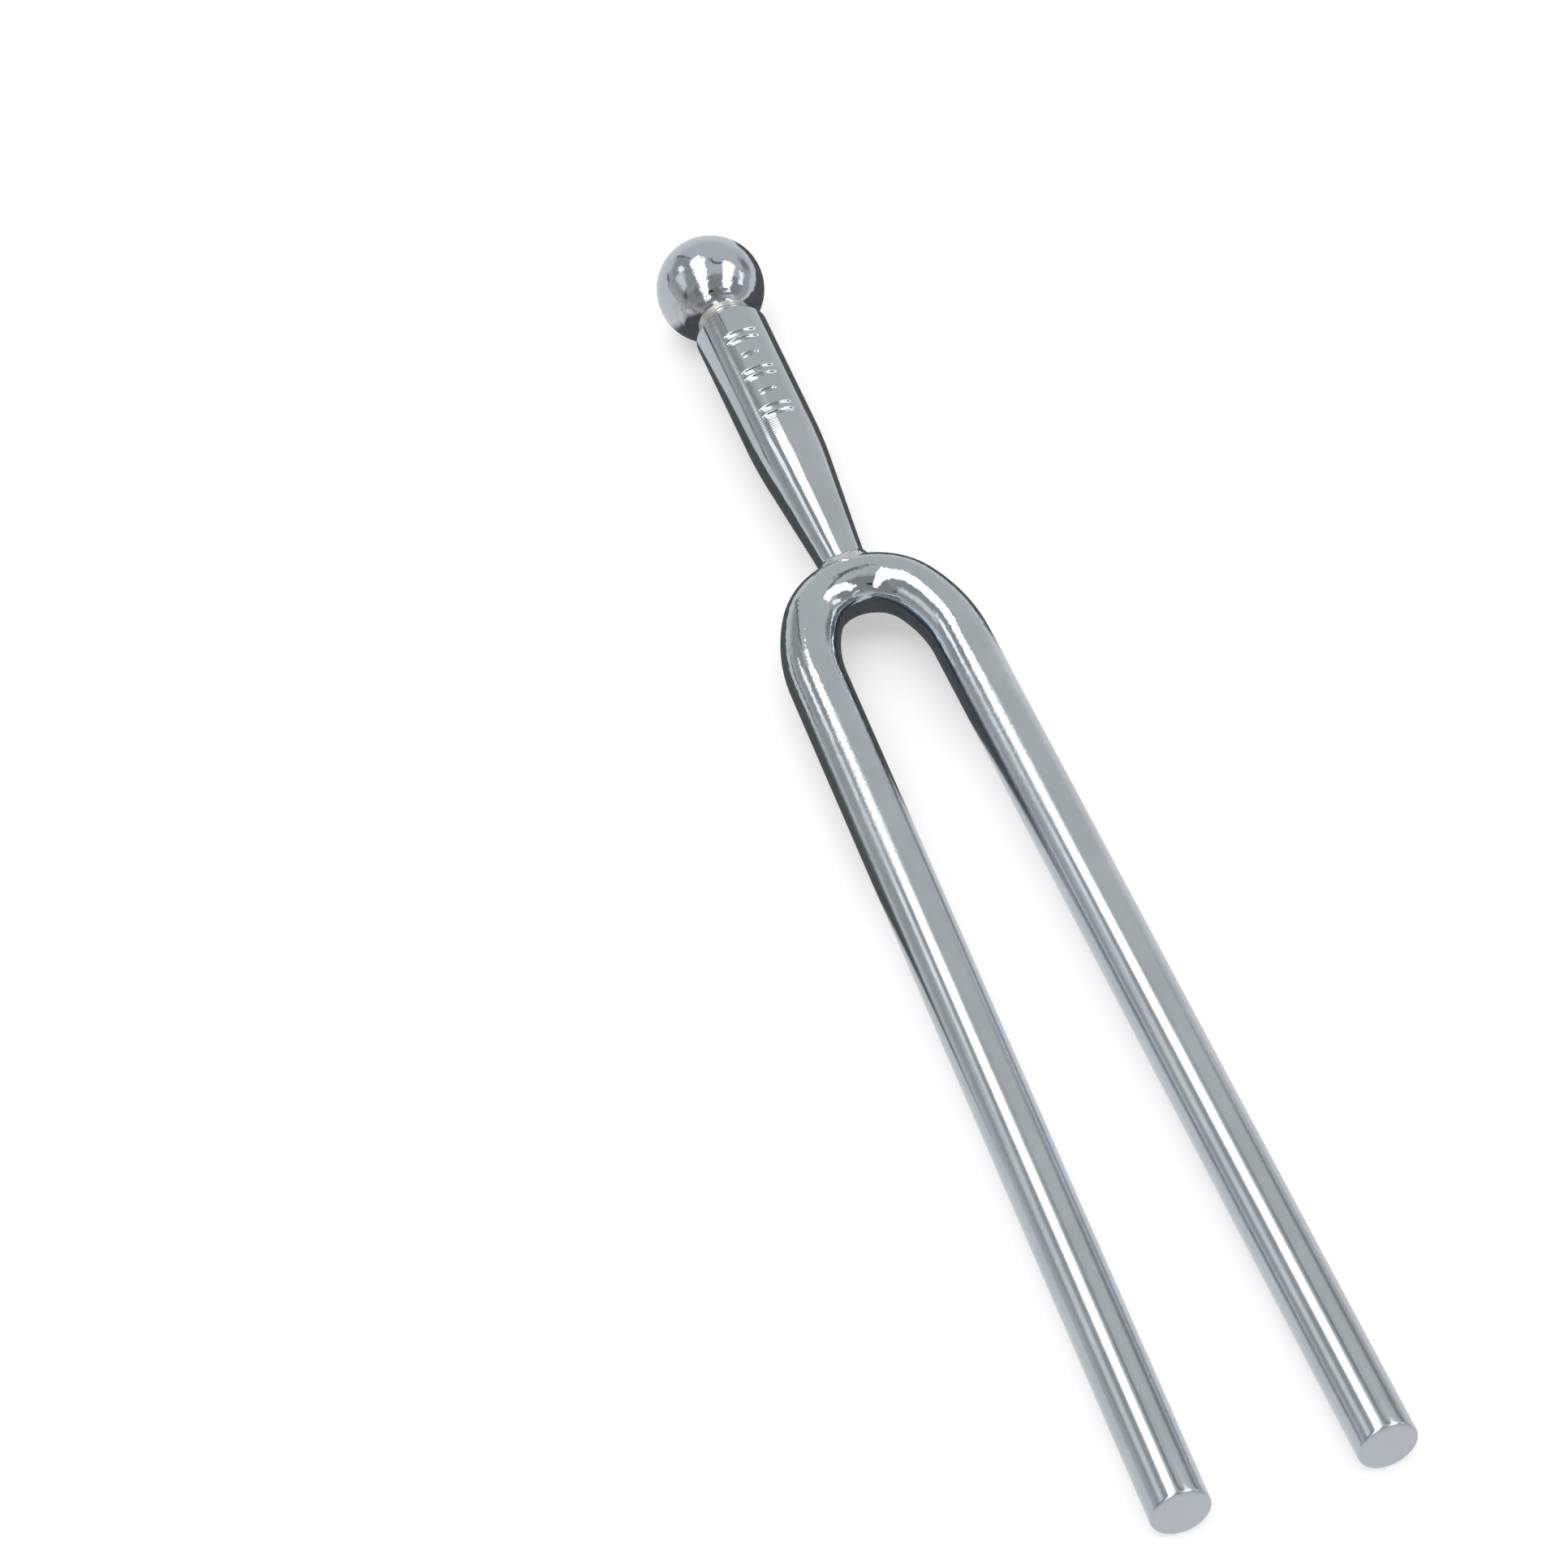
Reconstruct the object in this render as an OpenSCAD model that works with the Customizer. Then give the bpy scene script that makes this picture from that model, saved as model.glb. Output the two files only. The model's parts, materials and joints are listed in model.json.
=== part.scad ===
// Ball-ended tuning fork: a round bar bent to a U, a turned handle let into the crown, and a bored ball.
// It lies at rest on a flat surface at z = 0, on the ball and both tine ends.
// +X runs from the ball to the tine ends, +Y across the tines, and the origin is under the middle.

/* [Tines] */
// Diameter of the round bar
tine_d = 4.5; // [4.4:0.1:5]
// Length of each straight tine beyond the bend
tine_len = 81; // [70:0.5:90]
// Angle that each tine leans outwards from the axis
splay = 1.4; // [0:0.1:2]
// Radius of the rounding at the tine ends
tip_round = 0.3; // [0.1:0.05:0.5]

/* [Crown] */
// Radius of the tight bend at the crown, at the middle of the bar
crown_r = 4.6; // [4:0.1:6]
// Angle that the tight bend turns on each side of the axis
crown_turn = 62; // [50:1:70]
// Radius of the easier bend that leads into each tine
shoulder_r = 13.2; // [10:0.2:16]

/* [Handle] */
// Distance from the ball's centre to the middle of the bar at the crown
handle_len = 33.2; // [30:0.1:36]
// Diameter of the cylindrical grip
grip_d = 5.66; // [5.4:0.02:6]
// Where the grip starts, from the ball's centre
grip_start = 5.1; // [5.1:0.05:5.5]
// Where the grip would meet the straight taper, from the ball's centre
taper_start = 18.7; // [17:0.1:20]
// Radius of the curve that blends the grip into the taper
taper_blend_r = 50; // [30:5:60]
// Diameter of the handle where it meets the crown
foot_d = 3.5; // [3.2:0.1:3.6]
// Diameter of the neck between the grip and the ball
neck_d = 4; // [3.8:0.1:4.4]
// Length of the chamfer at the end of the grip
neck_chamfer = 0.8; // [0.6:0.1:0.8]
// Diameter of the spigot that goes into the ball
ball_spigot_d = 2.4; // [2:0.1:2.8]
// Diameter of the spigot that goes into the crown
crown_spigot_d = 2; // [1.6:0.1:2.4]
// How far the crown spigot passes the middle of the bar
crown_spigot_reach = 0.75; // [0.3:0.05:1.2]

/* [Ball] */
// Diameter of the ball
ball_d = 8.3; // [8:0.1:8.4]
// Depth of the ball's blind bore, from its centre towards the far side
bore_past_centre = 0.6; // [0:0.1:1.5]

/* [Joints in solder] */
// Radial gap that the solder fills around each spigot
solder_gap = 0.03; // [0.02:0.01:0.05]
// Width of the solder fillet at the neck
neck_fillet = 0.25; // [0.2:0.05:0.4]
// Width of the solder fillet at the crown
crown_fillet = 0.35; // [0.25:0.05:0.35]

/* [Graduation marks] */
// Number of marks stamped across the grip
mark_count = 5; // [1:1:5]
// Distance from one mark to the next
mark_pitch = 2.05; // [1.8:0.05:2.2]
// Where the first mark is, from the ball's centre
mark_start = 8.1; // [7:0.1:8.5]
// Depth of the marks
mark_depth = 0.12; // [0.05:0.01:0.2]
// Width of one stamped line
mark_line = 0.22; // [0.15:0.01:0.3]

/* [Hidden] */
$fn = 180;

tine_r = tine_d / 2;
grip_r = grip_d / 2;
neck_r = neck_d / 2;
foot_r = foot_d / 2;
ball_r = ball_d / 2;
ball_spigot_r = ball_spigot_d / 2;
crown_spigot_r = crown_spigot_d / 2;

// The flat on the ball that the neck's shoulder sits on
seat = sqrt(ball_r * ball_r - neck_r * neck_r);
// The crown's outer face and the taper's slope
crown_face = handle_len - tine_r;
// The crown's solder reaches a little under the bar's surface at its widest
solder_cover = 0.05;
solder_base = handle_len - sqrt(pow(tine_r, 2) - pow(foot_r + crown_fillet, 2)) + solder_cover;
taper_angle = atan((grip_r - foot_r) / (crown_face - taper_start));
blend_reach = taper_blend_r * tan(taper_angle / 2);

// The bend, measured from the middle of the bar at the crown
shoulder_turn = 90 - splay - crown_turn;
bend_x = crown_r * (1 - cos(crown_turn)) + shoulder_r * (cos(crown_turn) - sin(splay));
bend_y = crown_r * sin(crown_turn) + shoulder_r * (cos(splay) - sin(crown_turn));

// The tines' ends touch the surface that the ball stands on
touch_x = handle_len + bend_x + (tine_len - tip_round) * cos(splay);
tilt = asin((ball_r - tine_r) / touch_x);
along_x = cos(splay) * cos(tilt);
far_x = touch_x * cos(tilt) + (tine_r - tip_round) * sqrt(1 - along_x * along_x) + tip_round;
ball_x = (ball_r - far_x) / 2;

// Bending draws the bar down a little, so each shoulder ends inside its neighbours
draw_down = 0.02;
shoulder_lap = 0.1;
drawn_r = tine_r - draw_down;
lap_turn = shoulder_lap / shoulder_r * 180 / PI;

long_mark_turn = 52;
short_mark_turn = 26;
double_mark_gap = 0.75;

// Straight steps that a small corner and the grip's long blend are drawn with
corner_steps = 5;
blend_steps = 8;

function arc(x, y, r, from, to, n) =
    [for (i = [0 : n]) let (a = from + (to - from) * i / n) [x + r * cos(a), y + r * sin(a)]];

// From the fork's own axis, with the ball's centre at 0, to where the fork lies
module lay_down() {
    translate([ball_x, 0, ball_r]) rotate([0, tilt, 0]) children();
}

// Turns an outline of radius against distance about the fork's axis
module turned(outline) {
    rotate([0, 90, 0]) rotate_extrude() polygon(outline);
}

module crown_bend() {
    translate([handle_len + crown_r, 0, 0]) rotate([0, 0, 180 - crown_turn])
        rotate_extrude(angle = 2 * crown_turn) translate([crown_r, 0]) circle(tine_r);
}

module shoulder_bend() {
    translate([handle_len + crown_r + (shoulder_r - crown_r) * cos(crown_turn),
               -(shoulder_r - crown_r) * sin(crown_turn), 0])
        rotate([0, 0, 90 + splay - lap_turn])
            rotate_extrude(angle = shoulder_turn + 2 * lap_turn)
                translate([shoulder_r, 0]) circle(drawn_r);
}

module straight_tine() {
    translate([handle_len + bend_x, bend_y, 0]) rotate([0, 0, splay]) turned(concat(
        [[0, 0], [tine_r, 0]],
        arc(tine_r - tip_round, tine_len - tip_round, tip_round, 0, 90, corner_steps),
        [[0, tine_len]]));
}

module tine_bar() {
    color([0.55, 0.60, 0.64]) lay_down() difference() {
        union() {
            crown_bend();
            for (side = [0, 1]) mirror([0, side, 0]) {
                shoulder_bend();
                straight_tine();
            }
        }
        turned([[0, 0], [crown_spigot_r + solder_gap, 0],
                [crown_spigot_r + solder_gap, handle_len + crown_spigot_reach],
                [0, handle_len + crown_spigot_reach]]);
    }
}

// One line stamped across the grip, centred on its top
module stamped_line(distance, turn) {
    translate([distance - mark_line / 2, 0, 0]) rotate([0, 90, 0]) rotate([0, 0, 180 - turn / 2])
        rotate_extrude(angle = turn) translate([grip_r - mark_depth, 0])
            square([2 * mark_depth, mark_line]);
}

module graduation_marks() {
    for (i = [0 : mark_count - 1]) let (distance = mark_start + i * mark_pitch) {
        if (i % 2 == 0) {
            stamped_line(distance - double_mark_gap / 2, long_mark_turn);
            stamped_line(distance + double_mark_gap / 2, long_mark_turn);
        } else {
            stamped_line(distance, short_mark_turn);
        }
    }
}

module handle_solid() {
    turned(concat(
        [[0, 0], [ball_spigot_r, 0], [ball_spigot_r, seat], [neck_r, seat],
         [neck_r, grip_start - neck_chamfer], [grip_r, grip_start]],
        arc(grip_r - taper_blend_r, taper_start - blend_reach, taper_blend_r, 0, taper_angle, blend_steps),
        [[foot_r, crown_face], [foot_r, handle_len], [crown_spigot_r, handle_len],
         [crown_spigot_r, handle_len + crown_spigot_reach], [0, handle_len + crown_spigot_reach]]));
}

module handle() {
    color([0.55, 0.60, 0.64]) lay_down() difference() {
        handle_solid();
        // the foot is shaped to the bar, and only the spigot goes on into it
        difference() {
            crown_bend();
            turned([[0, 0], [crown_spigot_r, 0], [crown_spigot_r, handle_len + tine_r],
                    [0, handle_len + tine_r]]);
        }
        graduation_marks();
    }
}

module ball() {
    color([0.56, 0.61, 0.65]) lay_down() difference() {
        sphere(ball_r);
        translate([seat, -ball_r, -ball_r]) cube(ball_d);
        turned([[0, -bore_past_centre], [ball_spigot_r + solder_gap, -bore_past_centre],
                [ball_spigot_r + solder_gap, ball_r], [0, ball_r]]);
    }
}

module neck_solder() {
    color([0.58, 0.58, 0.55]) lay_down() difference() {
        turned(concat([[neck_r, seat - neck_fillet], [neck_r + neck_fillet, seat - neck_fillet]],
                      arc(neck_r + neck_fillet, seat + neck_fillet, neck_fillet, 270, 180, corner_steps)));
        sphere(ball_r);
    }
}

module crown_solder() {
    color([0.56, 0.60, 0.63]) lay_down() difference() {
        turned(concat([[0, solder_base], [foot_r + crown_fillet, solder_base]],
                      arc(foot_r + crown_fillet, crown_face - crown_fillet, crown_fillet, 90, 180, corner_steps),
                      [[0, crown_face - crown_fillet]]));
        handle_solid();
        crown_bend();
    }
}

tine_bar();
handle();
ball();
neck_solder();
crown_solder();
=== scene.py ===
import json
import math

import bmesh
import bpy
import numpy as np
from mathutils import Matrix, Vector, noise


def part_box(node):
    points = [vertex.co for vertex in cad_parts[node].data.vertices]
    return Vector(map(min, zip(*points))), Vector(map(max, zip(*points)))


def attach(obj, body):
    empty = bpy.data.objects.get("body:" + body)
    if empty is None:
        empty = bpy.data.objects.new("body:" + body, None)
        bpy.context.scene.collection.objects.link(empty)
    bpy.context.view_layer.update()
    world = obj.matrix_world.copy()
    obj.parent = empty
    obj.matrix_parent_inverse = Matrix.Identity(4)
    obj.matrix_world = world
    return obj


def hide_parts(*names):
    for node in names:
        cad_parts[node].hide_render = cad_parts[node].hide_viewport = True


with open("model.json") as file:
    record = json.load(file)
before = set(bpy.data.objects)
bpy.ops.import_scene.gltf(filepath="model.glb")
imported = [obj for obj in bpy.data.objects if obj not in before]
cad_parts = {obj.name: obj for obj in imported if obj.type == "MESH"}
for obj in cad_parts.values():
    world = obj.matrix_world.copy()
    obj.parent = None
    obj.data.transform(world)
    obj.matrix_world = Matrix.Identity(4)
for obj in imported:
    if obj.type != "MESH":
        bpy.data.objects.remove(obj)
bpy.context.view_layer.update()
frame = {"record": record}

# A ball-ended tuning fork: a round bar bent to a U, a turned handle, a ball and two soldered
# joints. Each is one mesh made from rings of points. Chrome shows little but what it mirrors,
# so most of the studio is a light tent that only the chrome sees.

record = frame["record"]
mounts = {m["name"]: m for m in record["mounts"]}

# ---------------------------------------------------------------------------------------------
# The fork's own frame: the ball's centre at 0, the axis along +X, the tines at +Y and -Y
# ---------------------------------------------------------------------------------------------
MM = 0.001
HANDLE_LEN = 33.2 * MM
TINE_LEN = 81 * MM
TIP_ROUND = 0.3 * MM
CROWN_R = 4.6 * MM
CROWN_TURN = math.radians(62)
SHOULDER_R = 13.2 * MM
GRIP_START = 5.1 * MM
TAPER_START = 18.7 * MM
TAPER_BLEND_R = 50 * MM
NECK_R = 2 * MM
NECK_CHAMFER = 0.8 * MM
FOOT_R = 1.75 * MM
BALL_SPIGOT_R = 1.2 * MM
CROWN_SPIGOT_R = 1 * MM
CROWN_SPIGOT_REACH = 0.75 * MM
SOLDER_GAP = 0.03 * MM
BORE_PAST_CENTRE = 0.6 * MM
NECK_FILLET = 0.25 * MM
CROWN_FILLET = 0.35 * MM

# The stamped graduation marks: long double lines and short single ones in turn
MARK_COUNT = 5
MARK_PITCH = 2.05 * MM
MARK_START = 8.1 * MM
MARK_DEPTH = 0.12 * MM
MARK_LINE = 0.22 * MM
LONG_MARK_TURN = math.radians(52)
SHORT_MARK_TURN = math.radians(26)
DOUBLE_MARK_GAP = 0.75 * MM

BAR_R = mounts["left_tine"]["dims"]["r_mm"] * MM
GRIP_R = mounts["grip"]["dims"]["r_mm"] * MM
ball_low, ball_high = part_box("ball")
BALL_R = (ball_high.y - ball_low.y) / 2
ball_centre = Vector((ball_low.x + BALL_R, 0, ball_low.z + BALL_R))

left_axis = Vector(mounts["left_tine_end"]["axis"])
SPLAY = math.asin(left_axis.y)
TILT = math.atan2(-left_axis.z, left_axis.x)
LAY_DOWN = Matrix.Translation(ball_centre) @ Matrix.Rotation(TILT, 4, "Y")

# The flat on the ball that the neck sits on, the crown's outer face, and the taper's slope
SEAT = math.sqrt(BALL_R ** 2 - NECK_R ** 2)
CROWN_FACE = HANDLE_LEN - BAR_R
TAPER_ANGLE = math.atan((GRIP_R - FOOT_R) / (CROWN_FACE - TAPER_START))

# Where the tight bend ends, and where the easier one does, from the bar's middle at the crown
TIGHT_X = CROWN_R * (1 - math.cos(CROWN_TURN))
TIGHT_Y = CROWN_R * math.sin(CROWN_TURN)
BEND_X = TIGHT_X + SHOULDER_R * (math.cos(CROWN_TURN) - math.sin(SPLAY))
BEND_Y = TIGHT_Y + SHOULDER_R * (math.cos(SPLAY) - math.sin(CROWN_TURN))


# ---------------------------------------------------------------------------------------------
# Mesh helpers
# ---------------------------------------------------------------------------------------------
def smooth(low, high, value):
    """0 below low, 1 above high, and an easy curve between."""
    t = np.clip((np.asarray(value, float) - low) / (high - low), 0, 1)
    return t * t * (3 - 2 * t)


def band(start, full, fading, end, value):
    """1 between full and fading, 0 before start and after end."""
    return smooth(start, full, value) * (1 - smooth(fading, end, value))


def ripple(points, size, seed):
    """Smooth noise from about -1 to 1 at each point, with features of the given size."""
    shift = Vector((seed * 17.3, seed * 5.1, seed * 9.7))
    flat = points.reshape(-1, 3) / size
    values = [noise.noise(Vector(p) + shift) for p in flat]
    return np.array(values).reshape(points.shape[:-1])


def run(start, end, step):
    """Even values from start up to, but not including, end."""
    count = max(1, math.ceil(abs(end - start) / step))
    return [start + (end - start) * i / count for i in range(count)]


def ring_faces(index, loop):
    """Quads between neighbouring rings of point numbers. A loop joins the last to the first."""
    count, around = index.shape
    faces = []
    for i in range(count if loop else count - 1):
        here, there = index[i], index[(i + 1) % count]
        for j in range(around):
            k = (j + 1) % around
            faces.append((here[j], here[k], there[k], there[j]))
    return faces


def skin(name, rings, loop=False, masks=None):
    """A closed piece from rings of points, with a pole at each end unless it is a loop."""
    count, around = rings.shape[:2]
    index = np.arange(count * around).reshape(count, around)
    faces = ring_faces(index, loop)
    points = rings.reshape(-1, 3)
    if not loop:
        points = np.vstack([points, rings[0].mean(0), rings[-1].mean(0)])
        first, last = count * around, count * around + 1
        for j in range(around):
            k = (j + 1) % around
            faces.append((first, index[0][k], index[0][j]))
            faces.append((last, index[-1][j], index[-1][k]))
    mesh = bpy.data.meshes.new(name)
    mesh.from_pydata([tuple(p) for p in points], [], [tuple(int(v) for v in f) for f in faces])
    for mask, values in (masks or {}).items():
        layer = mesh.attributes.new(mask, "FLOAT", "POINT")
        flat = np.asarray(values, float).reshape(-1)
        poles = np.array([] if loop else [flat[0], flat[-1]])
        layer.data.foreach_set("value", np.concatenate([flat, poles]).astype(np.float32))
    work = bmesh.new()
    work.from_mesh(mesh)
    bmesh.ops.recalc_face_normals(work, faces=work.faces)
    work.to_mesh(mesh)
    work.free()
    mesh.shade_smooth()
    mesh.transform(LAY_DOWN)
    piece = bpy.data.objects.new(name, mesh)
    bpy.context.scene.collection.objects.link(piece)
    return piece


def lathe(outline, around):
    """Distance, radius and turn of each point when (distance, radius) pairs go round the axis."""
    turn = np.arange(around) * 2 * math.pi / around
    distance = np.array([p[0] for p in outline])[:, None]
    radius = np.array([p[1] for p in outline])[:, None]
    return distance + 0 * turn, radius + 0 * turn, turn + 0 * distance


def place(distance, radius, turn):
    """Points about the fork's axis. Turn 0 is the top, and it grows towards +Y."""
    return np.stack([distance, radius * np.sin(turn), radius * np.cos(turn)], -1)


# ---------------------------------------------------------------------------------------------
# The tine bar
# ---------------------------------------------------------------------------------------------
BAR_AROUND = 144
TIGHT_STEP = math.radians(1.5)
EASY_STEP = math.radians(1)
TINE_STEP = 0.6 * MM
TIP_STEPS = 8
# Rings on the flat end, as shares of its radius
END_SHARES = (0.97, 0.9, 0.7, 0.45, 0.2)
# The wear of the bend fades out this far along the bar from the crown's middle
BEND_WEAR_REACH = 46 * MM
# Where the look of the sawn end starts and where it is full, before the tip
FACE_START, FACE_FULL = 0.25 * MM, 0.02 * MM


def half_bar():
    """Stations along half of the bar from the crown's middle: x, y, heading, radius, run length."""
    stations = []
    for t in run(0, CROWN_TURN, TIGHT_STEP):
        stations.append((HANDLE_LEN + CROWN_R * (1 - math.cos(t)), CROWN_R * math.sin(t),
                         math.pi / 2 - t, BAR_R, CROWN_R * t))
    tight_run = CROWN_R * CROWN_TURN
    for t in run(CROWN_TURN, math.pi / 2 - SPLAY, EASY_STEP):
        stations.append((HANDLE_LEN + TIGHT_X + SHOULDER_R * (math.cos(CROWN_TURN) - math.cos(t)),
                         TIGHT_Y + SHOULDER_R * (math.sin(t) - math.sin(CROWN_TURN)),
                         math.pi / 2 - t, BAR_R, tight_run + SHOULDER_R * (t - CROWN_TURN)))
    bend_run = tight_run + SHOULDER_R * (math.pi / 2 - SPLAY - CROWN_TURN)

    def straight(along, radius):
        return (HANDLE_LEN + BEND_X + along * math.cos(SPLAY), BEND_Y + along * math.sin(SPLAY),
                SPLAY, radius, bend_run + along)

    stations += [straight(along, BAR_R) for along in run(0, TINE_LEN - TIP_ROUND, TINE_STEP)]
    face_r = BAR_R - TIP_ROUND
    for i in range(TIP_STEPS + 1):
        turn = math.pi / 2 * i / TIP_STEPS
        stations.append(straight(TINE_LEN - TIP_ROUND + TIP_ROUND * math.sin(turn),
                                 face_r + TIP_ROUND * math.cos(turn)))
    stations += [straight(TINE_LEN, face_r * share) for share in END_SHARES]
    return stations


def make_bar():
    right = np.array(half_bar())
    left = right[:0:-1] * np.array([1, -1, 1, 1, 1])
    left[:, 2] = math.pi - left[:, 2]
    x, y, heading, radius, length = np.vstack([left, right]).T[:, :, None]
    turn = np.arange(BAR_AROUND) * 2 * math.pi / BAR_AROUND
    out = radius * np.cos(turn)
    rings = np.stack([x - out * np.sin(heading), y + out * np.cos(heading),
                      radius * np.sin(turn) + 0 * x], -1)
    length = length + 0 * turn
    tip = length.max()
    bend = 1 - smooth(0, BEND_WEAR_REACH, length)
    face = smooth(tip - FACE_START, tip - FACE_FULL, length)
    return skin("fork_tine_bar", rings, masks={"bend": bend, "end_face": face})


# ---------------------------------------------------------------------------------------------
# The handle
# ---------------------------------------------------------------------------------------------
HANDLE_AROUND = 240
# Steps along the handle: coarse where it is hidden or plain, fine where there is detail
SPIGOT_STEP, NECK_STEP, GRIP_STEP, FINE_STEP, TAPER_STEP = (
    0.4 * MM, 0.03 * MM, 0.15 * MM, 0.05 * MM, 0.2 * MM)
CHAMFER_START = GRIP_START - NECK_CHAMFER
# The grip's rounded edge, and how many of its radii it reaches past the start of the grip
EDGE_R, EDGE_STEPS, EDGE_REACH = 0.12 * MM, 6, 0.55
MARKS_FROM = MARK_START - 1.2 * MM
# Chatter that the turning tool left where the taper begins
CHATTER_FROM, CHATTER_TO, CHATTER_FADE = 16.2 * MM, 19.2 * MM, 1 * MM
CHATTER_PITCH, CHATTER_HEIGHT = 0.23 * MM, 0.0035 * MM
NECK_GROOVE_PITCH, NECK_GROOVE_DEPTH = 0.21 * MM, 0.035 * MM
# A stamped line is a groove with a burr beside it, here in shares of the line's width
GROOVE_HALF, BURR_AT, BURR_WIDTH = 0.5, 0.8, 0.28
BURR_HEIGHT, BURR_UNEVEN, BURR_SIZE, BURR_SEED = 0.03 * MM, 0.9, 0.35 * MM, 3
# How far a line strays from its place, and the size of its wiggles
STRAY, STRAY_SIZE, STRAY_SEED = 0.035 * MM, 0.7 * MM, 20
# A line fades out over this much turn inside and outside its end
FADE_INSIDE, FADE_OUTSIDE = math.radians(2), math.radians(1)
# The last stretch of the handle, where its rings bend to the bar's surface
FOOT_REACH = 2.5 * MM
# Rings on the foot's end, as shares of its radius
FOOT_SHARES = (1, 0.98, 0.85, 0.7)


def grip_radius(distance):
    """Radius of the handle from the start of the grip to its foot."""
    reach = TAPER_BLEND_R * math.tan(TAPER_ANGLE / 2)
    blend_end = TAPER_START - reach + TAPER_BLEND_R * math.sin(TAPER_ANGLE)
    if distance < TAPER_START - reach:
        return GRIP_R
    if distance < blend_end:
        drop = math.asin((distance - TAPER_START + reach) / TAPER_BLEND_R)
        return GRIP_R - TAPER_BLEND_R * (1 - math.cos(drop))
    return FOOT_R + (CROWN_FACE - distance) * math.tan(TAPER_ANGLE)


def bar_surface(y, z):
    """Distance along the axis at which the crown's outer side has the given y and z."""
    reach = CROWN_R + np.sqrt(np.maximum(BAR_R ** 2 - z ** 2, 0))
    return HANDLE_LEN + CROWN_R - np.sqrt(reach ** 2 - y ** 2)


def mark_lines():
    """Centre distance and turn of each stamped line."""
    for i in range(MARK_COUNT):
        centre = MARK_START + i * MARK_PITCH
        if i % 2 == 0:
            yield centre - DOUBLE_MARK_GAP / 2, LONG_MARK_TURN
            yield centre + DOUBLE_MARK_GAP / 2, LONG_MARK_TURN
        else:
            yield centre, SHORT_MARK_TURN


def stamp(distance, radius, turn):
    """Height that stamping adds: a groove, and the metal it pushes up at each side."""
    points = place(distance, radius, turn)
    uneven = ripple(points, BURR_SIZE, BURR_SEED)
    from_top = np.abs((turn + math.pi) % (2 * math.pi) - math.pi)
    height = np.zeros_like(distance)
    for index, (centre, reach) in enumerate(mark_lines()):
        stray = STRAY * ripple(points * np.array([0, 1, 1]), STRAY_SIZE, STRAY_SEED + index)
        off = np.abs(distance - centre - stray)
        inside = 1 - smooth(reach / 2 - FADE_INSIDE, reach / 2 + FADE_OUTSIDE, from_top)
        groove = -MARK_DEPTH * np.exp(-(off / (GROOVE_HALF * MARK_LINE)) ** 4)
        from_burr = (off - BURR_AT * MARK_LINE) / (BURR_WIDTH * MARK_LINE)
        burr = BURR_HEIGHT * np.exp(-from_burr ** 2) * (1 + BURR_UNEVEN * uneven)
        height += inside * (groove + burr)
    return height


def handle_outline():
    """(distance, radius) pairs from the end of the ball's spigot to the crown's face."""
    outline = [(0, BALL_SPIGOT_R * share) for share in (0.4, 0.8, 0.95)]
    outline += [(d, BALL_SPIGOT_R) for d in run(0, SEAT, SPIGOT_STEP)]
    outline += [(SEAT, BALL_SPIGOT_R), (SEAT, NECK_R)]
    outline += [(d, NECK_R) for d in run(SEAT, CHAMFER_START, NECK_STEP)][1:]
    slope = (GRIP_R - NECK_R) / NECK_CHAMFER
    outline += [(d, NECK_R + (d - CHAMFER_START) * slope)
                for d in run(CHAMFER_START, GRIP_START - EDGE_R, FINE_STEP)]
    for i in range(EDGE_STEPS + 1):
        turn = math.atan(slope) * (1 - i / EDGE_STEPS)
        outline.append((GRIP_START + EDGE_R * (EDGE_REACH - math.sin(turn)),
                        GRIP_R - EDGE_R * (1 - math.cos(turn))))
    outline += [(d, GRIP_R) for d in run(GRIP_START + EDGE_R, MARKS_FROM, GRIP_STEP)]
    outline += [(d, grip_radius(d)) for d in run(MARKS_FROM, CHATTER_TO, FINE_STEP)]
    outline += [(d, grip_radius(d)) for d in run(CHATTER_TO, CROWN_FACE, TAPER_STEP)]
    return outline


def make_handle():
    distance, radius, turn = lathe(handle_outline(), HANDLE_AROUND)
    chatter = band(CHATTER_FROM, CHATTER_FROM + CHATTER_FADE,
                   CHATTER_TO - CHATTER_FADE, CHATTER_TO, distance)
    radius = radius + chatter * CHATTER_HEIGHT * np.sin(2 * math.pi * distance / CHATTER_PITCH)
    on_neck = band(SEAT + 0.05 * MM, SEAT + 0.15 * MM,
                   CHAMFER_START - 0.1 * MM, CHAMFER_START + 0.05 * MM, distance)
    outside = radius > (NECK_R - 0.1 * MM)
    grooves = 0.5 - 0.5 * np.cos(2 * math.pi * (distance - SEAT) / NECK_GROOVE_PITCH)
    radius = radius - on_neck * outside * NECK_GROOVE_DEPTH * grooves
    radius = radius + stamp(distance, radius, turn)

    # the foot follows the bar's surface, then the spigot goes on into the bar
    turns = turn[:1]
    foot_end = bar_surface(FOOT_R * np.sin(turns), FOOT_R * np.cos(turns))
    foot = smooth(CROWN_FACE - FOOT_REACH, CROWN_FACE, distance)
    distance = distance + foot * (foot_end - CROWN_FACE)
    rings = [place(distance, radius, turn)]
    for r in [share * FOOT_R for share in FOOT_SHARES] + [CROWN_SPIGOT_R]:
        y, z = r * np.sin(turns), r * np.cos(turns)
        rings.append(np.stack([bar_surface(y, z), y, z], -1))
    spigot_end = HANDLE_LEN + CROWN_SPIGOT_REACH
    for d, share in ((spigot_end - 0.05 * MM, 1), (spigot_end, 0.95), (spigot_end, 0.5)):
        rings.append(place(d + 0 * turns, share * CROWN_SPIGOT_R + 0 * turns, turns))
    rings = np.vstack(rings)
    dull = 1 - smooth(CHAMFER_START - 0.1 * MM, CHAMFER_START + 0.35 * MM, rings[..., 0])
    return skin("fork_handle", rings, masks={"dull": dull})


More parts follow.
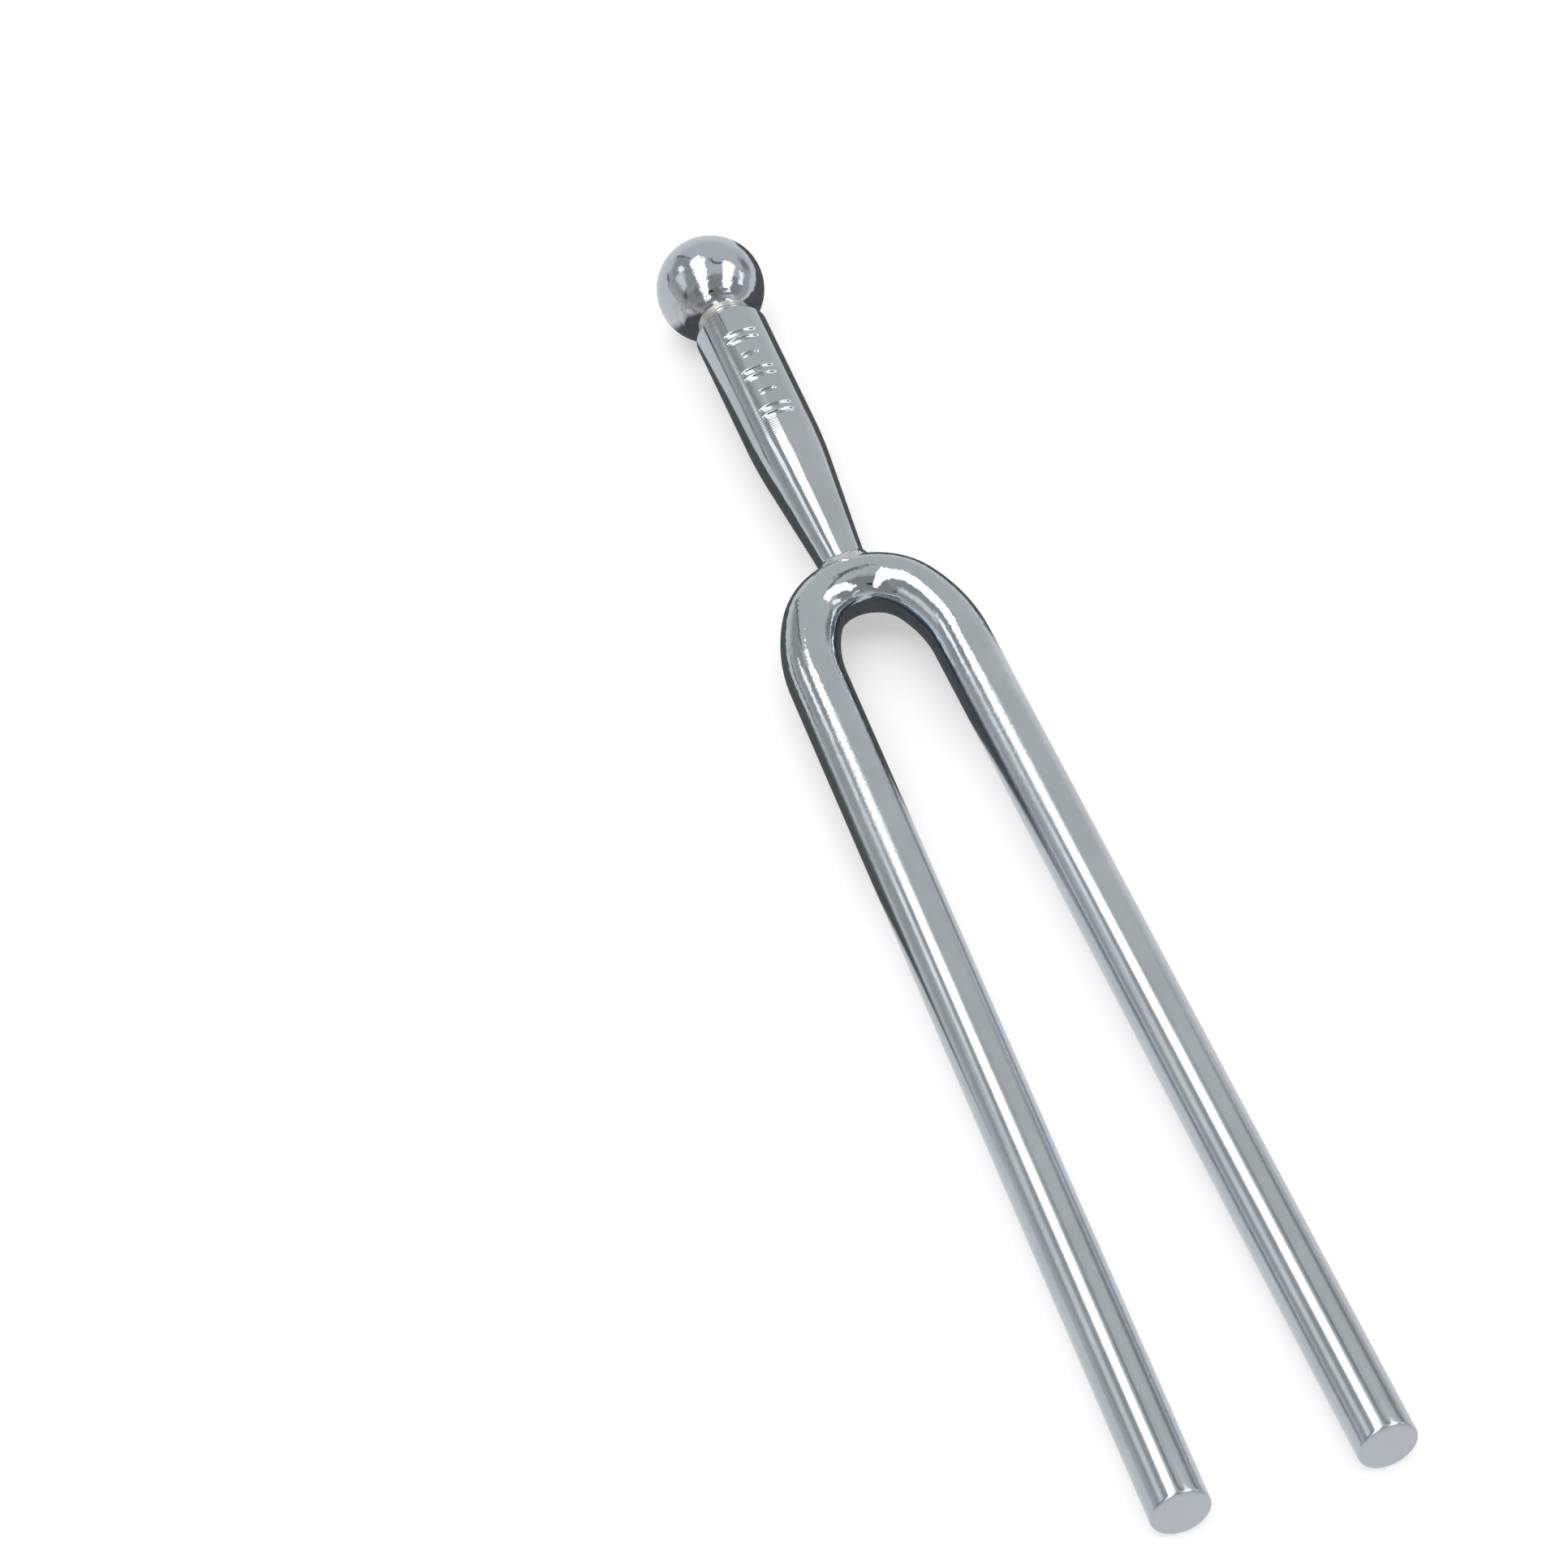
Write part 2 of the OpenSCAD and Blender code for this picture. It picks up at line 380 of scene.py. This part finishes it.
# ---------------------------------------------------------------------------------------------
# The ball and the two soldered joints
# ---------------------------------------------------------------------------------------------
BALL_AROUND, BALL_STEPS = 224, 150
BORE_STEP = 0.4 * MM
# Turning ripples near the neck. Points closer to the axis than RIPPLE_R are the bore's.
RIPPLE_START, RIPPLE_FULL, RIPPLE_R = 1.6 * MM, 3.4 * MM, 1.6 * MM
RIPPLE_PITCH, RIPPLE_HEIGHT = 0.46 * MM, 0.008 * MM
# The stain beside the neck: where it starts and is full, and its turn back from the top
STAIN_START, STAIN_FULL, STAIN_TURN = 1.2 * MM, 3.2 * MM, math.radians(42)
JOINT_AROUND, FILLET_STEPS = 180, 14
# The neck's solder is heaviest at this turn back from the top
DRIP_TURN = math.radians(75)
NECK_BULGE, NECK_FLARE = 0.04 * MM, 0.2 * MM
CROWN_BULGE = 0.09 * MM


def make_ball():
    bore_r = BALL_SPIGOT_R + SOLDER_GAP
    outline = [(-BORE_PAST_CENTRE, bore_r * share) for share in (0.4, 0.9, 1)]
    outline += [(d, bore_r) for d in run(-BORE_PAST_CENTRE, SEAT, BORE_STEP)][1:]
    outline += [(SEAT, bore_r), (SEAT, NECK_R * 0.8), (SEAT, NECK_R * 0.98)]
    seat_turn = math.asin(NECK_R / BALL_R)
    for i in range(BALL_STEPS):
        turn = seat_turn + (math.pi - seat_turn) * i / BALL_STEPS
        outline.append((BALL_R * math.cos(turn), BALL_R * math.sin(turn)))
    distance, radius, turn = lathe(outline, BALL_AROUND)
    near = smooth(RIPPLE_START, RIPPLE_FULL, distance) * (radius > RIPPLE_R)
    radius = radius + near * RIPPLE_HEIGHT * np.sin(2 * math.pi * distance / RIPPLE_PITCH)
    on_side = smooth(0.5, 0.95, np.cos(turn + STAIN_TURN))
    smudge = smooth(STAIN_START, STAIN_FULL, distance) * on_side
    return skin("fork_ball", place(distance, radius, turn), masks={"smudge": smudge})


def make_joint(section_at, name):
    """A ring of solder. section_at(turn) gives its section as (distance, radius) pairs."""
    turns = np.arange(JOINT_AROUND) * 2 * math.pi / JOINT_AROUND
    rings = np.array([[(d, r * math.sin(t), r * math.cos(t)) for d, r in section_at(t)]
                      for t in turns])
    return skin(name, rings, loop=True)


def lump(turn, size, seed):
    """Uneven height round a ring, the same after a full turn."""
    return noise.noise(Vector((math.cos(turn) / size, math.sin(turn) / size, seed)))


def neck_section(turn):
    """The solder between the ball and the neck: a low uneven collar, heaviest on one side."""
    drip = max(0, math.cos(turn + DRIP_TURN))
    # how far it runs along the neck and climbs the ball: a share of the fillet, a drip and lumps
    reach = NECK_FILLET * (0.65 + 0.9 * drip + 0.3 * lump(turn, 0.9, 1.3))
    uneven = 0.3 * lump(turn, 0.6, 4.1) + 0.1 * lump(turn, 0.2, 7.7)
    rise = NECK_FILLET * (0.8 + 0.8 * drip + uneven)
    outer = NECK_R + rise
    ball_at = math.sqrt(BALL_R ** 2 - outer ** 2)
    inner = NECK_R - 0.03 * MM
    section = [(SEAT - 0.02 * MM, inner), (SEAT + reach, inner)]
    for i in range(FILLET_STEPS + 1):
        a = math.pi / 2 * i / FILLET_STEPS
        bulge = NECK_BULGE * math.sin(2 * a) * (1 + 0.8 * lump(turn + 2 * a, 0.15, 9.2))
        flare = NECK_FLARE * (1 - math.sin(a)) * (1 - math.cos(a))
        d = SEAT + reach - (SEAT + reach - ball_at) * math.sin(a)
        r = outer - rise * math.cos(a)
        section.append((d - flare + 0.35 * bulge, r - flare * 0.4 + bulge * 0.5))
    section.append((ball_at - 0.03 * MM, outer - 0.05 * MM))
    return section


def crown_section(turn):
    """The solder between the handle's foot and the bar: a small flared fillet."""
    reach = CROWN_FILLET * (1.15 + 0.35 * lump(turn, 0.8, 2.2))
    climb = CROWN_FILLET * (1.1 + 0.5 * lump(turn, 0.5, 6.4))
    outer = FOOT_R + reach
    touch = bar_surface(outer * math.sin(turn), outer * math.cos(turn))
    foot = bar_surface(FOOT_R * math.sin(turn), FOOT_R * math.cos(turn))
    inner = FOOT_R - 0.04 * MM
    section = [(foot + 0.03 * MM, inner), (foot - climb, inner)]
    for i in range(FILLET_STEPS + 1):
        a = math.pi / 2 * i / FILLET_STEPS
        bulge = CROWN_BULGE * math.sin(2 * a) * (1 + 1.2 * lump(turn + a, 0.15, 3.5))
        d = foot - climb + (touch - foot + climb) * (1 - math.cos(a)) ** 0.9
        r = FOOT_R + reach * (1 - math.cos(a)) ** 0.55 * math.sin(a) ** 0.5
        section.append((d - bulge, r + bulge * 0.3))
    section.append((touch + 0.04 * MM, outer - 0.03 * MM))
    return section


# ---------------------------------------------------------------------------------------------
# Materials
# ---------------------------------------------------------------------------------------------
def new_material(name):
    material = bpy.data.materials.new(name)
    material.use_nodes = True
    nodes, links = material.node_tree.nodes, material.node_tree.links
    nodes.clear()
    out = nodes.new("ShaderNodeOutputMaterial")
    shader = nodes.new("ShaderNodeBsdfPrincipled")
    links.new(shader.outputs[0], out.inputs[0])
    return material, shader


class Graph:
    """Short names for the nodes that the materials are made of."""

    def __init__(self, material):
        self.nodes, self.links = material.node_tree.nodes, material.node_tree.links
        self.where = self.nodes.new("ShaderNodeTexCoord").outputs["Object"]

    def put(self, value, socket):
        if hasattr(value, "links"):
            self.links.new(value, socket)
        else:
            socket.default_value = value

    def axes(self):
        node = self.nodes.new("ShaderNodeSeparateXYZ")
        self.links.new(self.where, node.inputs[0])
        return node.outputs

    def scaled(self, factors):
        node = self.nodes.new("ShaderNodeMapping")
        self.links.new(self.where, node.inputs["Vector"])
        node.inputs["Scale"].default_value = factors
        return node.outputs[0]

    def noise(self, size, detail, source=None, rough=0.5):
        node = self.nodes.new("ShaderNodeTexNoise")
        self.links.new(source or self.where, node.inputs["Vector"])
        node.inputs["Scale"].default_value = 1 / size
        node.inputs["Detail"].default_value = detail
        node.inputs["Roughness"].default_value = rough
        return node.outputs["Fac"]

    def cells(self, size):
        node = self.nodes.new("ShaderNodeTexVoronoi")
        self.links.new(self.where, node.inputs["Vector"])
        node.inputs["Scale"].default_value = 1 / size
        return node.outputs["Distance"]

    def mask(self, name):
        node = self.nodes.new("ShaderNodeAttribute")
        node.attribute_name = name
        return node.outputs["Fac"]

    def math(self, operation, a, b=0.0, c=0.0):
        node = self.nodes.new("ShaderNodeMath")
        node.operation = operation
        for value, socket in zip((a, b, c), node.inputs):
            self.put(value, socket)
        return node.outputs[0]

    def add(self, a, b):
        return self.math("ADD", a, b)

    def times(self, a, b):
        return self.math("MULTIPLY", a, b)

    def ramp(self, value, low, high, to_low=0.0, to_high=1.0):
        node = self.nodes.new("ShaderNodeMapRange")
        node.interpolation_type = "SMOOTHSTEP"
        for given, socket in zip((value, low, high, to_low, to_high), node.inputs):
            self.put(given, socket)
        return node.outputs[0]

    def mix(self, factor, a, b):
        node = self.nodes.new("ShaderNodeMix")
        node.data_type = "RGBA"
        self.put(factor, node.inputs["Factor"])
        for value, socket in ((a, node.inputs[6]), (b, node.inputs[7])):
            self.put(value if hasattr(value, "links") else (*value, 1), socket)
        return node.outputs[2]

    def bump(self, height, distance, before=None, strength=1.0):
        node = self.nodes.new("ShaderNodeBump")
        self.put(height, node.inputs["Height"])
        node.inputs["Distance"].default_value = distance
        self.put(strength, node.inputs["Strength"])
        if before is not None:
            self.links.new(before, node.inputs["Normal"])
        return node.outputs[0]


class Chrome(Graph):
    """Bright plate: a mirror with faint haze, polishing lines and an uneven skin.
    """

    def __init__(self, name, tint, shine=0.03, wave=0.008 * MM):
        self.material, self.shader = new_material(name)
        super().__init__(self.material)
        self.shader.inputs["Metallic"].default_value = 1
        cloudy = self.noise(6 * MM, detail=3)
        darker = tuple(c * 0.93 for c in tint)
        self.colour = self.mix(self.ramp(cloudy, 0.35, 0.65), tint, darker)
        haze = self.noise(1.6 * MM, detail=4)
        self.rough = self.ramp(haze, 0.3, 0.75, shine, shine * 2.2)
        polishing = self.noise(0.12 * MM, detail=2, source=self.scaled((0.04, 1, 1)))
        self.normal = self.bump(self.noise(2.2 * MM, detail=1), wave)
        self.carve(polishing, 0.0006 * MM)

    def carve(self, height, distance, strength=1.0):
        self.normal = self.bump(height, distance, self.normal, strength)

    def stain(self, where, colour):
        self.colour = self.mix(where, self.colour, colour)

    def roughen(self, amount):
        self.rough = self.add(self.rough, amount)

    def finish(self):
        self.put(self.colour, self.shader.inputs["Base Color"])
        self.put(self.rough, self.shader.inputs["Roughness"])
        self.put(self.normal, self.shader.inputs["Normal"])
        return self.material


def bar_material():
    plate = Chrome("bar_chrome_plate", tint=(0.552, 0.606, 0.640))
    bend, face = plate.mask("bend"), plate.mask("end_face")
    # the shoulders are the most worn, the crown is dented, and the tines are nearly smooth
    worn = plate.times(plate.ramp(bend, 0.05, 0.35), plate.ramp(bend, 0.62, 0.85, 1, 0))
    grain = plate.noise(0.22 * MM, detail=3, rough=0.65)
    plate.carve(grain, 0.017 * MM, plate.ramp(worn, 0, 1, 0.06, 1))
    dents = plate.noise(1.1 * MM, detail=2)
    plate.carve(dents, 0.028 * MM, plate.ramp(bend, 0.3, 1, 0, 1))
    orange_peel = plate.noise(0.5 * MM, detail=1)
    plate.carve(orange_peel, 0.011 * MM, plate.ramp(bend, 0.4, 0.9, 0.1, 1))
    holes = plate.ramp(plate.cells(0.55 * MM), 0.05, 0.13, 1, 0)
    few = plate.ramp(plate.noise(1.4 * MM, detail=1), 0.60, 0.68)
    pits = plate.times(plate.times(holes, few), bend)
    plate.carve(plate.math("SUBTRACT", 1, pits), 0.02 * MM)
    plate.stain(pits, (0.12, 0.12, 0.13))
    plate.roughen(plate.ramp(bend, 0, 0.7, 0.11, 0))
    plate.roughen(plate.times(worn, 0.08))
    plate.roughen(plate.times(face, 0.32))
    plate.stain(face, (0.56, 0.60, 0.635))
    saw = plate.noise(0.10 * MM, detail=3, source=plate.scaled((1, 1, 0.12)))
    plate.carve(saw, 0.006 * MM, plate.times(face, 0.6))
    return plate.finish()


def handle_material():
    plate = Chrome("handle_chrome_plate", tint=(0.55, 0.603, 0.637))
    turning = plate.noise(0.16 * MM, detail=2, source=plate.scaled((1, 0.01, 0.01)))
    plate.carve(turning, 0.0016 * MM)
    drawn = plate.noise(0.22 * MM, detail=2, source=plate.scaled((0.03, 1, 1)))
    plate.carve(drawn, 0.005 * MM)
    dull = plate.mask("dull")
    plate.stain(dull, (0.545, 0.56, 0.555))
    plate.roughen(plate.times(dull, 0.24))
    return plate.finish()


def ball_material():
    plate = Chrome("ball_chrome_plate", tint=(0.56, 0.61, 0.65), shine=0.025, wave=0.02 * MM)
    uneven = plate.noise(0.7 * MM, detail=3, rough=0.6)
    plate.carve(uneven, 0.020 * MM)
    stained = plate.times(plate.mask("smudge"), plate.ramp(uneven, 0.42, 0.58))
    plate.stain(stained, (0.38, 0.385, 0.37))
    plate.roughen(plate.times(stained, 0.14))
    return plate.finish()


def neck_solder_material():
    solder = Chrome("neck_solder_metal", tint=(0.58, 0.59, 0.575), shine=0.26)
    blotch = solder.noise(0.8 * MM, detail=2)
    solder.stain(solder.ramp(blotch, 0.45, 0.68), (0.49, 0.49, 0.465))
    solder.carve(blotch, 0.015 * MM)
    return solder.finish()


def crown_solder_material():
    solder = Chrome("crown_solder_metal", tint=(0.68, 0.71, 0.74), shine=0.05)
    solder.carve(solder.noise(0.35 * MM, detail=2), 0.03 * MM)
    return solder.finish()


# ---------------------------------------------------------------------------------------------
# The object
# ---------------------------------------------------------------------------------------------
def dress(piece, node, material):
    piece.data.materials.append(material)
    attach(piece, "root")
    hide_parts(node)


dress(make_bar(), "tine_bar", bar_material())
dress(make_handle(), "handle", handle_material())
dress(make_ball(), "ball", ball_material())
dress(make_joint(neck_section, "fork_neck_solder"), "neck_solder",
      neck_solder_material())
dress(make_joint(crown_section, "fork_crown_solder"), "crown_solder",
      crown_solder_material())

# ---------------------------------------------------------------------------------------------
# The floor, the mirrored table and the lights
# ---------------------------------------------------------------------------------------------
FLOOR_HALF = 4.0
FLOOR_COLOUR, FLOOR_GLOW = (0.80, 0.80, 0.80), 0.28
# The mirrored table's bright tone, the painted shade it takes beside the tines, and the dark card
TABLE_NEAR, TABLE_SHADE, CARD = (0.76, 0.76, 0.77), (0.42, 0.43, 0.45), (0.08, 0.085, 0.09)
FLAT_PAINT = 0.7
# The mirrored table darkens with painted shade between these distances to the side, from where the
# tines start
SHADE_ASIDE, SHADE_ALONG = (22 * MM, 55 * MM), (-35 * MM, 0)
# The card's soft edges. Both ends cross the fork at a slant, and the sides lie past the tines.
CARD_BALL_END, CARD_TINES_END, CARD_SIDE = (
    (-65 * MM, -62.5 * MM), (-10 * MM, -6 * MM), (20 * MM, 28 * MM))
CARD_SLANT = 1.1
# The two long lights that the chrome doesn't mirror
LIGHT_WIDTH, LIGHT_LENGTH = 0.3, 1.0


def floor_plane(name):
    mesh = bpy.data.meshes.new(name)
    corners = ((-1, -1), (1, -1), (1, 1), (-1, 1))
    mesh.from_pydata([(x * FLOOR_HALF, y * FLOOR_HALF, 0) for x, y in corners], [], [(0, 1, 2, 3)])
    plane = bpy.data.objects.new(name, mesh)
    bpy.context.scene.collection.objects.link(plane)
    material, shader = new_material(name + "_paint")
    shader.inputs["Roughness"].default_value = FLAT_PAINT
    plane.data.materials.append(material)
    return plane, material, shader


def make_floor():
    """What the eye sees: a pale floor that glows a little, so that shadows stay faint."""
    floor, _, shader = floor_plane("floor")
    shader.inputs["Base Color"].default_value = (*FLOOR_COLOUR, 1)
    shader.inputs["Emission Color"].default_value = (1, 1, 1, 1)
    shader.inputs["Emission Strength"].default_value = FLOOR_GLOW
    floor.visible_glossy = False


def make_mirrored_table():
    """What the chrome mirrors: darker with painted shade beside the tines, with a dark card in the
    pouch's place.
    """
    table, material, shader = floor_plane("mirrored_table")
    g = Graph(material)
    x, y, _ = g.axes()
    aside = g.math("ABSOLUTE", y)
    # painted shade: the table's tone goes darker beside the tines, for the chrome to mirror
    shade_beside_tines = g.times(g.ramp(aside, *SHADE_ASIDE), g.ramp(x, *SHADE_ALONG))
    past_ball_end = g.ramp(g.add(x, y), *CARD_BALL_END)
    before_tines_end = g.ramp(g.math("MULTIPLY_ADD", y, CARD_SLANT, x), *CARD_TINES_END, 1, 0)
    on_card = g.times(g.times(past_ball_end, before_tines_end), g.ramp(aside, *CARD_SIDE, 1, 0))
    tone = g.mix(shade_beside_tines, TABLE_NEAR, TABLE_SHADE)
    g.put(g.mix(on_card, tone, CARD), shader.inputs["Base Color"])
    table.visible_camera = table.visible_diffuse = table.visible_shadow = False


def area_light(name, position, power):
    """A long soft light aimed at the fork."""
    light = bpy.data.lights.new(name, "AREA")
    light.shape = "RECTANGLE"
    light.size, light.size_y, light.energy = LIGHT_WIDTH, LIGHT_LENGTH, power
    lamp = bpy.data.objects.new(name, light)
    bpy.context.scene.collection.objects.link(lamp)
    lamp.location = position
    lamp.rotation_euler = (-Vector(position)).to_track_quat("-Z", "Y").to_euler()
    lamp.visible_camera = lamp.visible_glossy = False


def make_world():
    world = bpy.data.worlds.new("studio")
    bpy.context.scene.world = world
    world.use_nodes = True
    background = world.node_tree.nodes["Background"]
    background.inputs["Color"].default_value = (1, 1, 1, 1)
    background.inputs["Strength"].default_value = 1.0


# ---------------------------------------------------------------------------------------------
# The light tent that the chrome mirrors. A place on it is given by two angles in degrees from
# straight overhead: across, positive towards +Y, and near, positive towards +X and the camera.
# ---------------------------------------------------------------------------------------------
TENT_R = 0.33
TENT_STEP = 1.0
# Brightness of the walls, of the band just above the table, and of the dark patches
BACK_WALL, LEFT_WALL, FRONT_WALL, RIGHT_WALL, LOW_BAND = 0.66, 0.41, 0.34, 0.42, 0.80
DIM, BLACK = 0.16, 0.012
# Where each wall fades in: the front and its darker foot, the left, the right, and the low band
FRONT_EDGE, FRONT_FOOT = (2, 15), (60, 85)
LEFT_EDGE = (19, 24)
RIGHT_EDGE, RIGHT_BACK_EDGE, RIGHT_SHARE = (58, 78), (-45, -25), 0.8
LOW_EDGE, LOW_RIGHT_END, LOW_LEFT_END = (70, 89), (40, 70), (40, 60)
# Each dark patch and lamp: start and end (across, near), half width at each, softness, brightness
PATCHES = [
    ((-24, -80), (-18, -48), (1.6, 1.6), 1.5, DIM),
    ((10, -31), (13, -18), (3, 4), 3, 0.20),
    ((13, -19), (28, -18), (2.2, 2.2), 1.5, DIM),
    ((-70, 0), (-70, 12), (6, 6), 4, DIM),
    ((62, -42), (78, -26), (6, 8), 5, 0.28),
    ((-17, 43), (-7, 43), (5, 5), 2, BLACK),
    ((-52, -70), (-68, -56), (1.2, 1.2), 0.8, 0.10),
]
LAMPS = [
    ((-49, -40), (-60, -3), (8.5, 6), 4.5, 0.95),
    ((-38, -52), (-41, -38), (4, 5), 2.5, 1.5),
    ((-12.5, -44), (-11.5, -36), (7.5, 12), 1.3, 2.6),
    ((-11, -38), (-29, 54), (12, 8), 2.0, 2.6),
    ((43, -20), (27, 44), (11, 10), 2.0, 2.2),
    ((67, -8), (67, 22), (5, 5), 3.0, 1.5),
    ((16, 61), (50, 61), (3, 3), 3, 1.0),
]


def stroke(across, near, start, end, half_widths, soft):
    """1 along a straight stroke between two places on the tent, and 0 away from it."""
    run_across, run_near = end[0] - start[0], end[1] - start[1]
    length = math.hypot(run_across, run_near)
    along = ((across - start[0]) * run_across + (near - start[1]) * run_near) / length
    aside = np.abs((across - start[0]) * run_near - (near - start[1]) * run_across) / length
    share = np.clip(along / length, 0, 1)
    half = half_widths[0] + (half_widths[1] - half_widths[0]) * share
    return (1 - smooth(-soft, soft, aside - half)) * smooth(-soft, soft, along) * (
        1 - smooth(-soft, soft, along - length))


def tent_glow(across, near):
    """Brightness of the tent: its walls, the band near the table, then the patches and lamps."""
    overhead = np.hypot(across, near)
    front = smooth(*FRONT_EDGE, near) * (1 - 0.5 * smooth(*FRONT_FOOT, near))
    left = smooth(*LEFT_EDGE, -across) * (1 - front)
    right = RIGHT_SHARE * smooth(*RIGHT_EDGE, across) * smooth(*RIGHT_BACK_EDGE, near)
    low = smooth(*LOW_EDGE, overhead) * (1 - 0.75 * smooth(*LOW_RIGHT_END, across)) * (
        1 - 0.6 * smooth(*LOW_LEFT_END, -across))
    glow = BACK_WALL + 0 * overhead
    for share, brightness in ((front, FRONT_WALL), (left, LEFT_WALL), (right, RIGHT_WALL),
                              (low, LOW_BAND)):
        glow = glow + (brightness - glow) * share
    for start, end, half_widths, soft, brightness in PATCHES + LAMPS:
        share = stroke(across, near, start, end, half_widths, soft)
        glow = glow + (brightness - glow) * share
    return glow


def make_tent():
    around = np.radians(np.arange(0, 360, TENT_STEP))
    overhead = np.arange(TENT_STEP, 90 + TENT_STEP / 2, TENT_STEP)[:, None]
    across, near = overhead * np.sin(around), overhead * np.cos(around)
    tilt = np.radians(overhead)
    points = TENT_R * np.stack([np.sin(tilt) * np.cos(around), np.sin(tilt) * np.sin(around),
                                np.cos(tilt) + 0 * around], -1)
    index = np.arange(across.size).reshape(across.shape)
    faces = ring_faces(index, loop=False) + [tuple(index[0])]
    mesh = bpy.data.meshes.new("light_tent")
    mesh.from_pydata([tuple(p) for p in points.reshape(-1, 3)], [],
                     [tuple(int(v) for v in f) for f in faces])
    glow = tent_glow(across, near).reshape(-1)
    layer = mesh.attributes.new("glow", "FLOAT", "POINT")
    layer.data.foreach_set("value", glow.astype(np.float32))
    tent = bpy.data.objects.new("light_tent", mesh)
    bpy.context.scene.collection.objects.link(tent)
    material = bpy.data.materials.new("tent_light")
    material.use_nodes = True
    nodes, links = material.node_tree.nodes, material.node_tree.links
    nodes.clear()
    emission = nodes.new("ShaderNodeEmission")
    brightness = nodes.new("ShaderNodeAttribute")
    brightness.attribute_name = "glow"
    links.new(brightness.outputs["Fac"], emission.inputs["Strength"])
    links.new(emission.outputs[0], nodes.new("ShaderNodeOutputMaterial").inputs[0])
    mesh.materials.append(material)
    tent.visible_camera = tent.visible_diffuse = tent.visible_shadow = False


make_floor()
make_mirrored_table()
make_tent()
area_light("key_left", (-0.15, -0.45, 0.9), power=2)
area_light("key_right", (0.3, 0.6, 0.9), power=1.5)
make_world()

# ---------------------------------------------------------------------------------------------
# The camera
# ---------------------------------------------------------------------------------------------
CAMERA_AT = Vector((0.4356, -0.1256, 0.5114))
CAMERA_AIM = Vector((-0.0098, -0.0111, 0.003))
CAMERA_ROLL = math.radians(6.153)
FOCAL_LENGTH = 215.38
SENSOR_WIDTH = 36


def make_camera():
    data = bpy.data.cameras.new("camera")
    data.lens, data.sensor_width, data.sensor_fit = FOCAL_LENGTH, SENSOR_WIDTH, "HORIZONTAL"
    camera = bpy.data.objects.new("camera", data)
    bpy.context.scene.collection.objects.link(camera)
    forward = (CAMERA_AIM - CAMERA_AT).normalized()
    level = forward.cross(Vector((0, 0, 1))).normalized()
    right = math.cos(CAMERA_ROLL) * level - math.sin(CAMERA_ROLL) * level.cross(forward)
    axes = Matrix((right, right.cross(forward), -forward)).transposed()
    camera.matrix_world = Matrix.Translation(CAMERA_AT) @ axes.to_4x4()
    bpy.context.scene.camera = camera


make_camera()
bpy.context.scene.view_settings.view_transform = "Standard"

bpy.context.view_layer.update()
